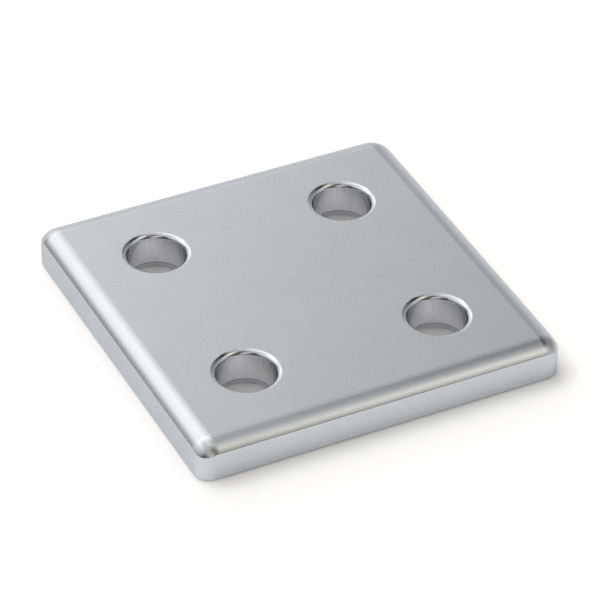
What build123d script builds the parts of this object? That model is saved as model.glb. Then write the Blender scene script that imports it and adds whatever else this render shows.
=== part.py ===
from build123d import *
import math
import os

# Square cover plate: one piece of steel with four through holes.
# X and Y run along the two pairs of sides, Z is up.
# The origin is the middle of the seating face underneath.
# All lengths are in millimetres.

plate_width = 56.5          # X
plate_depth = 56.5          # Y
plate_thickness = 6.0       # Z
corner_radius = 2.3         # upright corners, seen from above

crown_width = 2.8           # rounding round the top face: how far it reaches in
crown_drop = 1.4            # and how far down the side it starts
flat_corner_radius = 0.2    # corners of the flat that the crown leaves on top
crease_radius = 0.35        # edge break on the line where crown and side meet
seat_edge_radius = 0.5      # edge break round the seating face

hole_diameter = 8.5         # clears an M8 bolt
hole_spacing_x = 30.0
hole_spacing_y = 30.0
lip_width = 0.8             # rounded lip at the top of each hole
lip_depth = 0.6
relief_width = 0.45         # widening at the bottom of each hole
relief_height = 1.1

overrun = 1.0               # how far the cutters pass the faces


def flat_topped_arc_radius(reach, drop):
    """Radius of the arc that leaves a flat face tangentially and ends reach out, drop down."""
    return (reach * reach + drop * drop) / (2 * drop)


# The body: a prism with rounded corners, cut by the crown.
# The crown is an arc that is tangent to the top face and meets the side in a crisp crease.
# It turns the corners more widely than the sides do, so the crease dips a little there.
crown_radius = flat_topped_arc_radius(crown_width, crown_drop)
crown_oversize = crown_radius - crown_width

with BuildPart() as crown_block:
    with BuildSketch():
        RectangleRounded(
            plate_width + 2 * crown_oversize,
            plate_depth + 2 * crown_oversize,
            flat_corner_radius + crown_radius,
        )
    extrude(amount=plate_thickness)
    fillet(crown_block.faces().sort_by(Axis.Z)[-1].edges(), radius=crown_radius)

with BuildPart() as prism:
    with BuildSketch():
        RectangleRounded(plate_width, plate_depth, corner_radius)
    extrude(amount=plate_thickness)
    fillet(prism.faces().sort_by(Axis.Z)[0].edges(), radius=seat_edge_radius)

with BuildPart() as plate_body:
    add(prism.part)
    add(crown_block.part, mode=Mode.INTERSECT)
    crease = new_edges(prism.part, crown_block.part, combined=plate_body.part)
    fillet(crease, radius=crease_radius)

# The hole: the profile of one cutter from its axis outward, turned round the axis.
hole_radius = hole_diameter / 2
lip_radius = flat_topped_arc_radius(lip_width, lip_depth)
lip_centre_r = hole_radius + lip_width
lip_centre_z = plate_thickness - lip_radius
lip_start_angle = math.atan2(plate_thickness - lip_depth - lip_centre_z, -lip_width)
lip_middle_angle = (lip_start_angle + math.pi / 2) / 2
lip_middle = (
    lip_centre_r + lip_radius * math.cos(lip_middle_angle),
    lip_centre_z + lip_radius * math.sin(lip_middle_angle),
)

with BuildPart() as hole_cutter:
    with BuildSketch(Plane.XZ):
        with BuildLine():
            Polyline(
                (0, -overrun),
                (hole_radius + relief_width, -overrun),
                (hole_radius + relief_width, 0),
                (hole_radius, relief_height),
                (hole_radius, plate_thickness - lip_depth),
            )
            ThreePointArc(
                (hole_radius, plate_thickness - lip_depth),
                lip_middle,
                (hole_radius + lip_width, plate_thickness),
            )
            Polyline(
                (hole_radius + lip_width, plate_thickness),
                (hole_radius + lip_width, plate_thickness + overrun),
                (0, plate_thickness + overrun),
                (0, -overrun),
            )
        make_face()
    revolve(axis=Axis.Z)

with BuildPart() as cover_plate:
    add(plate_body.part)
    with GridLocations(hole_spacing_x, hole_spacing_y, 2, 2):
        add(hole_cutter.part, mode=Mode.SUBTRACT)

os.makedirs("parts", exist_ok=True)
export_step(cover_plate.part, "parts/cover_plate.step")
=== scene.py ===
"""Square cover plate of satin zinc-plated steel, lying on a plain white studio table."""
import math

import bpy
from mathutils import Matrix, Vector


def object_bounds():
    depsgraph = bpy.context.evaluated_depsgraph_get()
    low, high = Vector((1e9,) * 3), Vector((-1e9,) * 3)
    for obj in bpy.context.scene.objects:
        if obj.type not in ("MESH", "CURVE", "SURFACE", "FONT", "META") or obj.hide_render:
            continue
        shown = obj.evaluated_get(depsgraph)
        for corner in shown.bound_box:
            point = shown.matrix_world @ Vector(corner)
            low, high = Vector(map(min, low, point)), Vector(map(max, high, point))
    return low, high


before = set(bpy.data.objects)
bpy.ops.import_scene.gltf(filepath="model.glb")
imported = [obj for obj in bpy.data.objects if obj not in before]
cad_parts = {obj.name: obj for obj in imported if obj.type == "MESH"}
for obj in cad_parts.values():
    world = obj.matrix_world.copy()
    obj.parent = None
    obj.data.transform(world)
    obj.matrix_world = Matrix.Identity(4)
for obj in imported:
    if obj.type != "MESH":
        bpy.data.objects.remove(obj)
cad_low, cad_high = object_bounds()

# The camera: a long lens that looks down on the corner between the front and the left side.
VIEW_AZIMUTH = -27.046
VIEW_ELEVATION = 37.690
VIEW_ROLL = 1.242
VIEW_DISTANCE = 0.53713
AIM_RIGHT = 0.000749
AIM_UP = 0.002364
LENS_MM = 223.81
SENSOR_MM = 36.0

# The table and the light on it. A radiance of 1 shows a white surface as white.
TABLE_RADIUS = 1.5
TABLE_SIDES = 96
TABLE_COLOUR = (0.95, 0.95, 0.95)
TABLE_GLOW = 0.34
# Painted shade: the glow is left out from 3 mm inside the plate's outline and comes back over 5.5 mm beyond
# it. The zone is shifted to the front and right sides, where the shadow falls.
GLOW_UNDER = 0.003
GLOW_FULL = 0.0055
PAINTED_SHADE_SHIFT = (0.0015, -0.001, 0.0)
# The room's light falls off with height: this much is taken away at the top.
ROOM_RISE = -0.706
# The white backdrop stands up to these heights above the horizon, as sines.
HORIZON_WHITE = 0.087
HORIZON_END = 0.156
# Each soft light: azimuth, elevation, half width and half height in degrees,
# then radiance, edge sharpness and colour.
SOFT_LIGHTS = {
    "back_low": (172.2, 33.4, 24.9, 5.6, 2.41, 0.98, (1.02, 1, 0.98)),
    "back_high": (174.6, 53.6, 23.7, 10.9, 2.52, 0.80, (1.02, 1, 0.98)),
    "front": (42.4, 48.2, 17.0, 13.3, 2.48, 0.80, (1.07, 1.005, 0.925)),
    "left_side": (-92.2, 64.7, 79.8, 21.1, 1.31, 1.60, (1.10, 1.06, 1.015)),
    "right_side": (89.2, 30.0, 42.2, 20.8, 0.59, 4.00, (1, 1, 1)),
    "overhead": (105.8, 82.5, 29.0, 21.9, 1.26, 3.98, (1, 1, 1)),
    "back_horizon": (164.5, 13.1, 42.1, 14.3, 0.96, 4.00, (1, 1, 1)),
    "left_low": (-107.9, 35.8, 39.6, 21.4, 1.03, 4.00, (1, 1, 1)),
    "near_side": (-20.0, 30.0, 25.0, 14.0, 0.40, 2.00, (1.03, 1, 0.96)),
    "right_low": (48.0, 15.0, 30.0, 11.0, 0.60, 2.00, (1, 1, 1)),
}

# Places on the plate, in millimetres, for the finish to follow.
HOLE_FROM_CENTRE = 15.0
LIP_OUTER_RADIUS = 5.15
BORE_RADIUS = 4.25
RELIEF_TOP = 1.1
LIP_FADE = 0.3
# Half widths of the painted shade line round each bore at the top of its relief: full shade, then faded out.
RELIEF_SHADE_HALF_WIDTHS = (0.05, 0.16)
GRAIN_HEIGHT = 0.0005
EDGE_STREAK_HEIGHT = 0.006
LIP_STREAK_HEIGHT = 0.012
BORE_MARK_HEIGHT = 0.006

# The finish: the tints of the zinc, how much single grains vary it, and roughness from smooth to rough, with
# painted light in the bores.
DARKER_ZINC = (0.570, 0.607, 0.651, 1)
LIGHTER_ZINC = (0.586, 0.622, 0.664, 1)
EDGE_REFLECTION = (0.75, 0.75, 0.75, 1)
SPECK_TONES = (0.985, 1.01)
FACE_ROUGHNESS = (0.26, 0.31)
LIP_ROUGHNESS = (0.12, 0.22)
BORE_ROUGHNESS = (0.16, 0.30)
# Bore walls: a bluer tint of the plating, made lighter than the faces as a painted reflection.
BORE_TINT_AND_SHEEN = (0.78, 0.81, 0.86, 1)
# Painted shade: the dark tone of a thin line round each bore where its wall meets the relief.
RELIEF_EDGE_SHADE_TONE = (0.35, 0.36, 0.38, 1)
MM_PER_M = 1000.0


def direction(azimuth, elevation):
    """Unit vector from the plate; azimuth 0 points along -Y and 90 along +X, both in degrees."""
    a, e = math.radians(azimuth), math.radians(elevation)
    return Vector((math.sin(a) * math.cos(e), -math.cos(a) * math.cos(e), math.sin(e)))


# ---------------------------------------------------------------- node helpers


def put(tree, kind, **settings):
    """A new node with its settings, such as operation or data_type."""
    made = tree.nodes.new(kind)
    for name, value in settings.items():
        setattr(made, name, value)
    return made


def feed(tree, socket, source):
    """Joins an output to a socket, or writes a plain value on it."""
    if isinstance(source, bpy.types.NodeSocket):
        tree.links.new(source, socket)
    else:
        socket.default_value = source


def maths(tree, operation, *sources):
    made = put(tree, "ShaderNodeMath", operation=operation)
    for socket, source in zip(made.inputs, sources):
        feed(tree, socket, source)
    return made.outputs[0]


def vector(tree, operation, *sources):
    made = put(tree, "ShaderNodeVectorMath", operation=operation)
    for socket, source in zip(made.inputs, sources):
        feed(tree, socket, source)
    return made.outputs["Value" if operation in ("DOT_PRODUCT", "LENGTH") else "Vector"]


def split(tree, source):
    made = put(tree, "ShaderNodeSeparateXYZ")
    feed(tree, made.inputs[0], source)
    return made.outputs


def join(tree, x, y, z):
    made = put(tree, "ShaderNodeCombineXYZ")
    for socket, source in zip(made.inputs, (x, y, z)):
        feed(tree, socket, source)
    return made.outputs[0]


def ramp(tree, value, low, high, start=0.0, end=1.0):
    """Smooth step from start to end while value goes from low to high."""
    made = put(tree, "ShaderNodeMapRange", interpolation_type="SMOOTHSTEP")
    given = {"Value": value, "From Min": low, "From Max": high, "To Min": start, "To Max": end}
    for name, source in given.items():
        feed(tree, made.inputs[name], source)
    return made.outputs["Result"]


def noise(tree, place, scale, detail=2.0, roughness=0.5, seed=0.0):
    made = put(tree, "ShaderNodeTexNoise", noise_dimensions="4D")
    feed(tree, made.inputs["Vector"], place)
    feed(tree, made.inputs["W"], seed)
    feed(tree, made.inputs["Scale"], scale)
    feed(tree, made.inputs["Detail"], detail)
    feed(tree, made.inputs["Roughness"], roughness)
    return made.outputs["Fac"]


def mix_value(tree, factor, low, high):
    made = put(tree, "ShaderNodeMix", data_type="FLOAT")
    feed(tree, made.inputs[0], factor)
    feed(tree, made.inputs[2], low)
    feed(tree, made.inputs[3], high)
    return made.outputs[0]


def mix_colour(tree, factor, low, high):
    made = put(tree, "ShaderNodeMix", data_type="RGBA")
    feed(tree, made.inputs[0], factor)
    feed(tree, made.inputs[6], low)
    feed(tree, made.inputs[7], high)
    return made.outputs[2]


def new_group(name, inputs, outputs):
    """An empty shader group; inputs and outputs are lists of (name, kind, default)."""
    tree = bpy.data.node_groups.new(name, "ShaderNodeTree")
    for label, kind, default in inputs:
        socket = tree.interface.new_socket(label, in_out="INPUT", socket_type="NodeSocket" + kind)
        if default is not None:
            socket.default_value = default
    for label, kind in outputs:
        tree.interface.new_socket(label, in_out="OUTPUT", socket_type="NodeSocket" + kind)
    start = put(tree, "NodeGroupInput")
    end = put(tree, "NodeGroupOutput")
    return tree, start.outputs, end.inputs


def use_group(tree, group, **values):
    made = put(tree, "ShaderNodeGroup")
    made.node_tree = group
    for name, source in values.items():
        feed(tree, made.inputs[name.replace("_", " ")], source)
    return made.outputs


def shown_rays(tree):
    """1 for the rays that show the background: camera, glossy and transmission."""
    rays = put(tree, "ShaderNodeLightPath").outputs
    seen = maths(tree, "MAXIMUM", rays["Is Camera Ray"], rays["Is Glossy Ray"])
    return maths(tree, "MAXIMUM", seen, rays["Is Transmission Ray"])


# ---------------------------------------------------------------- finish of the plate


def hole_places():
    """Distance from the nearest hole's axis, the direction away from it, and a seed for each hole."""
    tree, given, result = new_group(
        "hole_places",
        [("Place", "Vector", None), ("Offset", "Float", HOLE_FROM_CENTRE)],
        [("Distance", "Float"), ("Away", "Vector"), ("Seed", "Float")],
    )
    x, y, _ = split(tree, given["Place"])
    side_x, side_y = maths(tree, "SIGN", x), maths(tree, "SIGN", y)
    from_x = maths(tree, "SUBTRACT", x, maths(tree, "MULTIPLY", side_x, given["Offset"]))
    from_y = maths(tree, "SUBTRACT", y, maths(tree, "MULTIPLY", side_y, given["Offset"]))
    flat = join(tree, from_x, from_y, 0.0)
    feed(tree, result["Distance"], vector(tree, "LENGTH", flat))
    feed(tree, result["Away"], vector(tree, "NORMALIZE", flat))
    feed(tree, result["Seed"], maths(tree, "MULTIPLY_ADD", side_x, 2.0, side_y))
    return tree


def plating_grain():
    """Fine, even grain of the zinc, with broad soft clouding."""
    tree, given, result = new_group(
        "plating_grain",
        [("Place", "Vector", None), ("Grain Size", "Float", 0.3), ("Cloud Size", "Float", 7.0)],
        [("Grain", "Float"), ("Clouding", "Float")],
    )
    grain_scale = maths(tree, "DIVIDE", 1.0, given["Grain Size"])
    cloud_scale = maths(tree, "DIVIDE", 1.0, given["Cloud Size"])
    feed(tree, result["Grain"], noise(tree, given["Place"], grain_scale, 2.0, 0.6, 3.1))
    feed(tree, result["Clouding"], noise(tree, given["Place"], cloud_scale, 2.0, 0.5, 7.7))
    return tree


def edge_draw_marks():
    """Short streaks that run across an edge, down the way its surface falls."""
    tree, given, result = new_group(
        "edge_draw_marks",
        [
            ("Place", "Vector", None),
            ("Facing", "Vector", None),
            ("Spacing", "Float", 0.25),
            ("Length", "Float", 2.5),
        ],
        [("Streaks", "Float")],
    )
    nx, ny, _ = split(tree, given["Facing"])
    across_x = maths(tree, "ABSOLUTE", nx)
    across_y = maths(tree, "ABSOLUTE", ny)
    fine = maths(tree, "DIVIDE", 1.0, given["Spacing"])
    coarse = maths(tree, "DIVIDE", 1.0, given["Length"])
    stretched_x = vector(tree, "MULTIPLY", given["Place"], join(tree, fine, coarse, coarse))
    stretched_y = vector(tree, "MULTIPLY", given["Place"], join(tree, coarse, fine, coarse))
    along_x = noise(tree, stretched_x, 1.0, 2.0, 0.55, 1.3)
    along_y = noise(tree, stretched_y, 1.0, 2.0, 0.55, 5.9)
    turn = ramp(tree, maths(tree, "SUBTRACT", across_x, across_y), -0.15, 0.15)
    feed(tree, result["Streaks"], mix_value(tree, turn, along_x, along_y))
    return tree


def bore_tool_marks():
    """Marks of the drill: streaks down the bore and faint rings round it."""
    tree, given, result = new_group(
        "bore_tool_marks",
        [
            ("Place", "Vector", None),
            ("Away", "Vector", None),
            ("Seed", "Float", 0.0),
            ("Streak Spacing", "Float", 0.3),
            ("Ring Spacing", "Float", 0.25),
        ],
        [("Streaks", "Float"), ("Rings", "Float")],
    )
    _, _, height = split(tree, given["Place"])
    away_x, away_y, _ = split(tree, given["Away"])
    round_scale = maths(tree, "DIVIDE", BORE_RADIUS, given["Streak Spacing"])
    ring_scale = maths(tree, "DIVIDE", 1.0, given["Ring Spacing"])
    u = maths(tree, "MULTIPLY", away_x, round_scale)
    v = maths(tree, "MULTIPLY", away_y, round_scale)
    down = maths(tree, "MULTIPLY", height, 0.12)
    feed(tree, result["Streaks"], noise(tree, join(tree, u, v, down), 1.0, 2.0, 0.6, given["Seed"]))
    level = maths(tree, "MULTIPLY", height, ring_scale)
    feed(tree, result["Rings"], noise(tree, join(tree, away_x, away_y, level), 1.0, 2.0, 0.6, given["Seed"]))
    return tree


def satin_zinc():
    """Satin zinc plating: soft on the faces, smoother and streaked on the lips and in the bores, with a
    painted shade line and a painted lighter tone in the bores.
    """
    metal = bpy.data.materials.new("satin_zinc")
    metal.use_nodes = True
    tree = metal.node_tree
    shader = tree.nodes["Principled BSDF"]
    shader.inputs["Metallic"].default_value = 1.0
    shader.inputs["Specular Tint"].default_value = EDGE_REFLECTION
    place_node = put(tree, "ShaderNodeTexCoord")
    place = vector(tree, "SCALE", place_node.outputs["Object"])
    place.node.inputs["Scale"].default_value = MM_PER_M
    facing = put(tree, "ShaderNodeNewGeometry").outputs["Normal"]
    _, _, height = split(tree, place)
    _, _, facing_up = split(tree, facing)

    hole = use_group(tree, hole_places(), Place=place)
    grain = use_group(tree, plating_grain(), Place=place)
    drawn = use_group(tree, edge_draw_marks(), Place=place, Facing=facing)
    lip_drawn = use_group(tree, bore_tool_marks(), Place=place, Away=hole["Away"], Seed=hole["Seed"])

    near_hole = ramp(tree, hole["Distance"], LIP_OUTER_RADIUS, LIP_OUTER_RADIUS + LIP_FADE, 1.0, 0.0)
    sloping = ramp(tree, facing_up, 0.999, 0.97)
    upright = ramp(tree, facing_up, 0.35, 0.1)
    bore = maths(tree, "MULTIPLY", near_hole, upright)
    slanted = maths(tree, "MULTIPLY", sloping, maths(tree, "SUBTRACT", 1.0, upright))
    lip = maths(tree, "MULTIPLY", near_hole, slanted)
    edge = maths(tree, "MULTIPLY", maths(tree, "SUBTRACT", 1.0, near_hole), sloping)

    tone = mix_colour(tree, ramp(tree, grain["Clouding"], 0.3, 0.7), DARKER_ZINC, LIGHTER_ZINC)
    speck = ramp(tree, grain["Grain"], 0.25, 0.75, *SPECK_TONES)
    # Partly painted reflection: the bore walls take a lighter, bluer tone than the faces.
    tone = mix_colour(tree, bore, tone, BORE_TINT_AND_SHEEN)
    # Painted shade: a thin dark line round each bore at the top of the relief, where shade falls in the
    # crease.
    from_relief_edge = maths(tree, "ABSOLUTE", maths(tree, "SUBTRACT", height, RELIEF_TOP))
    relief_edge_shade = maths(tree, "MULTIPLY", bore, ramp(tree, from_relief_edge, *RELIEF_SHADE_HALF_WIDTHS, 1.0, 0.0))
    tone = mix_colour(tree, relief_edge_shade, tone, RELIEF_EDGE_SHADE_TONE)
    tinted = vector(tree, "SCALE", tone)
    feed(tree, tinted.node.inputs["Scale"], speck)
    feed(tree, shader.inputs["Base Color"], tinted)

    rough = ramp(tree, grain["Grain"], 0.2, 0.8, *FACE_ROUGHNESS)
    rough = mix_value(tree, lip, rough, ramp(tree, lip_drawn["Streaks"], 0.3, 0.7, *LIP_ROUGHNESS))
    rough = mix_value(tree, bore, rough, ramp(tree, lip_drawn["Streaks"], 0.3, 0.7, *BORE_ROUGHNESS))
    feed(tree, shader.inputs["Roughness"], rough)

    edge_streaks = maths(tree, "SUBTRACT", drawn["Streaks"], 0.5)
    lip_streaks = maths(tree, "SUBTRACT", lip_drawn["Streaks"], 0.5)
    bore_marks = maths(tree, "ADD", lip_drawn["Streaks"], lip_drawn["Rings"])
    relief = maths(tree, "MULTIPLY", grain["Grain"], GRAIN_HEIGHT)
    for marks, where, size in (
        (edge_streaks, edge, EDGE_STREAK_HEIGHT),
        (lip_streaks, lip, LIP_STREAK_HEIGHT),
        (bore_marks, bore, BORE_MARK_HEIGHT),
    ):
        marks_here = maths(tree, "MULTIPLY", maths(tree, "MULTIPLY", marks, where), size)
        relief = maths(tree, "ADD", relief, marks_here)
    bump = put(tree, "ShaderNodeBump")
    bump.inputs["Distance"].default_value = 1 / MM_PER_M
    feed(tree, bump.inputs["Height"], relief)
    feed(tree, shader.inputs["Normal"], bump.outputs[0])
    return metal


# ---------------------------------------------------------------- studio


def place_camera():
    back = direction(VIEW_AZIMUTH, VIEW_ELEVATION)
    level_right = Vector((0, 0, 1)).cross(back).normalized()
    level_up = back.cross(level_right)
    roll = math.radians(VIEW_ROLL)
    right = math.cos(roll) * level_right + math.sin(roll) * level_up
    up = back.cross(right)
    middle = (cad_low + cad_high) / 2
    base_centre = Vector((middle.x, middle.y, cad_low.z))
    aim = base_centre + AIM_RIGHT * right + AIM_UP * up
    lens = bpy.data.cameras.new("studio_camera")
    lens.lens = LENS_MM
    lens.sensor_width = SENSOR_MM
    lens.clip_start = 0.01
    lens.clip_end = 10.0
    camera = bpy.data.objects.new("studio_camera", lens)
    turn = Matrix((right, up, back)).transposed().to_4x4()
    camera.matrix_world = Matrix.Translation(aim + VIEW_DISTANCE * back) @ turn
    bpy.context.scene.collection.objects.link(camera)
    bpy.context.scene.camera = camera


def soft_light():
    """How strongly a soft round-edged panel of light shows in a direction of the room."""
    tree, given, result = new_group(
        "soft_light",
        [
            ("Direction", "Vector", None),
            ("Facing", "Vector", None),
            ("Sideways", "Vector", None),
            ("Upwards", "Vector", None),
            ("Width", "Float", 0.4),
            ("Height", "Float", 0.3),
            ("Edge", "Float", 1.0),
        ],
        [("Light", "Float")],
    )
    ahead = vector(tree, "DOT_PRODUCT", given["Direction"], given["Facing"])
    reaches = []
    for axis, size in (("Sideways", "Width"), ("Upwards", "Height")):
        offset = vector(tree, "DOT_PRODUCT", given["Direction"], given[axis])
        reach = maths(tree, "DIVIDE", offset, given[size])
        reaches.append(maths(tree, "MULTIPLY", reach, reach))
    spread = maths(tree, "POWER", maths(tree, "ADD", *reaches), given["Edge"])
    fade = maths(tree, "EXPONENT", maths(tree, "MULTIPLY", spread, -1.0))
    feed(tree, result["Light"], maths(tree, "MULTIPLY", fade, maths(tree, "GREATER_THAN", ahead, 0.0)))
    return tree


def light_studio():
    """Soft lights round the plate, all in the world, over a white backdrop near the horizon."""
    world = bpy.data.worlds.new("studio_room")
    bpy.context.scene.world = world
    world.use_nodes = True
    tree = world.node_tree
    seen = put(tree, "ShaderNodeTexCoord").outputs["Generated"]
    height = split(tree, seen)[2]
    grey = maths(tree, "MULTIPLY", height, ROOM_RISE)
    room = vector(tree, "SCALE", (1.0, 1.0, 1.0))
    feed(tree, room.node.inputs["Scale"], grey)
    panel = soft_light()
    for azimuth, elevation, half_width, half_height, radiance, edge, colour in SOFT_LIGHTS.values():
        facing = direction(azimuth, elevation)
        sideways = Vector((0, 0, 1)).cross(facing).normalized()
        upwards = facing.cross(sideways)
        light = use_group(
            tree,
            panel,
            Direction=seen,
            Facing=facing,
            Sideways=sideways,
            Upwards=upwards,
            Width=math.sin(math.radians(half_width)),
            Height=math.sin(math.radians(half_height)),
            Edge=edge,
        )["Light"]
        glow = vector(tree, "SCALE", tuple(radiance * part for part in colour))
        feed(tree, glow.node.inputs["Scale"], light)
        room = vector(tree, "ADD", room, glow)
    room = vector(tree, "MAXIMUM", room, (0.0, 0.0, 0.0))
    horizon = ramp(tree, height, HORIZON_WHITE, HORIZON_END, 1.0, 0.0)
    backdrop = mix_colour(tree, maths(tree, "MULTIPLY", shown_rays(tree), horizon), room, (1, 1, 1, 1))
    feed(tree, tree.nodes["Background"].inputs["Color"], backdrop)


def make_table():
    """A round white table top, whose glow shows it as white except right by the plate, where the missing
    glow paints shade over the real shadow.
    """
    mesh = bpy.data.meshes.new("studio_table")
    angles = [2 * math.pi * i / TABLE_SIDES for i in range(TABLE_SIDES)]
    rim = [(TABLE_RADIUS * math.cos(a), TABLE_RADIUS * math.sin(a), cad_low.z) for a in angles]
    mesh.from_pydata(rim, [], [list(range(TABLE_SIDES))])
    table = bpy.data.objects.new("studio_table", mesh)
    bpy.context.scene.collection.objects.link(table)

    paint = bpy.data.materials.new("white_table")
    paint.use_nodes = True
    tree = paint.node_tree
    tree.nodes.clear()
    out = put(tree, "ShaderNodeOutputMaterial")
    matt = put(tree, "ShaderNodeBsdfDiffuse")
    matt.inputs["Color"].default_value = (*TABLE_COLOUR, 1)
    glow = put(tree, "ShaderNodeEmission")
    seen = shown_rays(tree)
    place = put(tree, "ShaderNodeTexCoord").outputs["Object"]
    # Painted shade: near the plate, mostly on the front and right, the glow fades out over the real shadow.
    half = tuple((cad_high - cad_low) / 2 - Vector((GLOW_UNDER, GLOW_UNDER, 0.0)))
    from_middle = vector(tree, "ABSOLUTE", vector(tree, "SUBTRACT", place, PAINTED_SHADE_SHIFT))
    beyond = vector(tree, "MAXIMUM", vector(tree, "SUBTRACT", from_middle, half), (0.0, 0.0, 0.0))
    glow_outside_painted_shade = ramp(tree, vector(tree, "LENGTH", beyond), 0.0, GLOW_FULL)
    strength = maths(tree, "MULTIPLY", maths(tree, "MULTIPLY", seen, glow_outside_painted_shade), TABLE_GLOW)
    feed(tree, glow.inputs["Strength"], strength)
    both = put(tree, "ShaderNodeAddShader")
    tree.links.new(matt.outputs[0], both.inputs[0])
    tree.links.new(glow.outputs[0], both.inputs[1])
    tree.links.new(both.outputs[0], out.inputs["Surface"])
    mesh.materials.append(paint)


bpy.context.scene.view_settings.view_transform = "Standard"
place_camera()
light_studio()
make_table()
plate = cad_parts["cover_plate"]
plate.data.materials.clear()
plate.data.materials.append(satin_zinc())
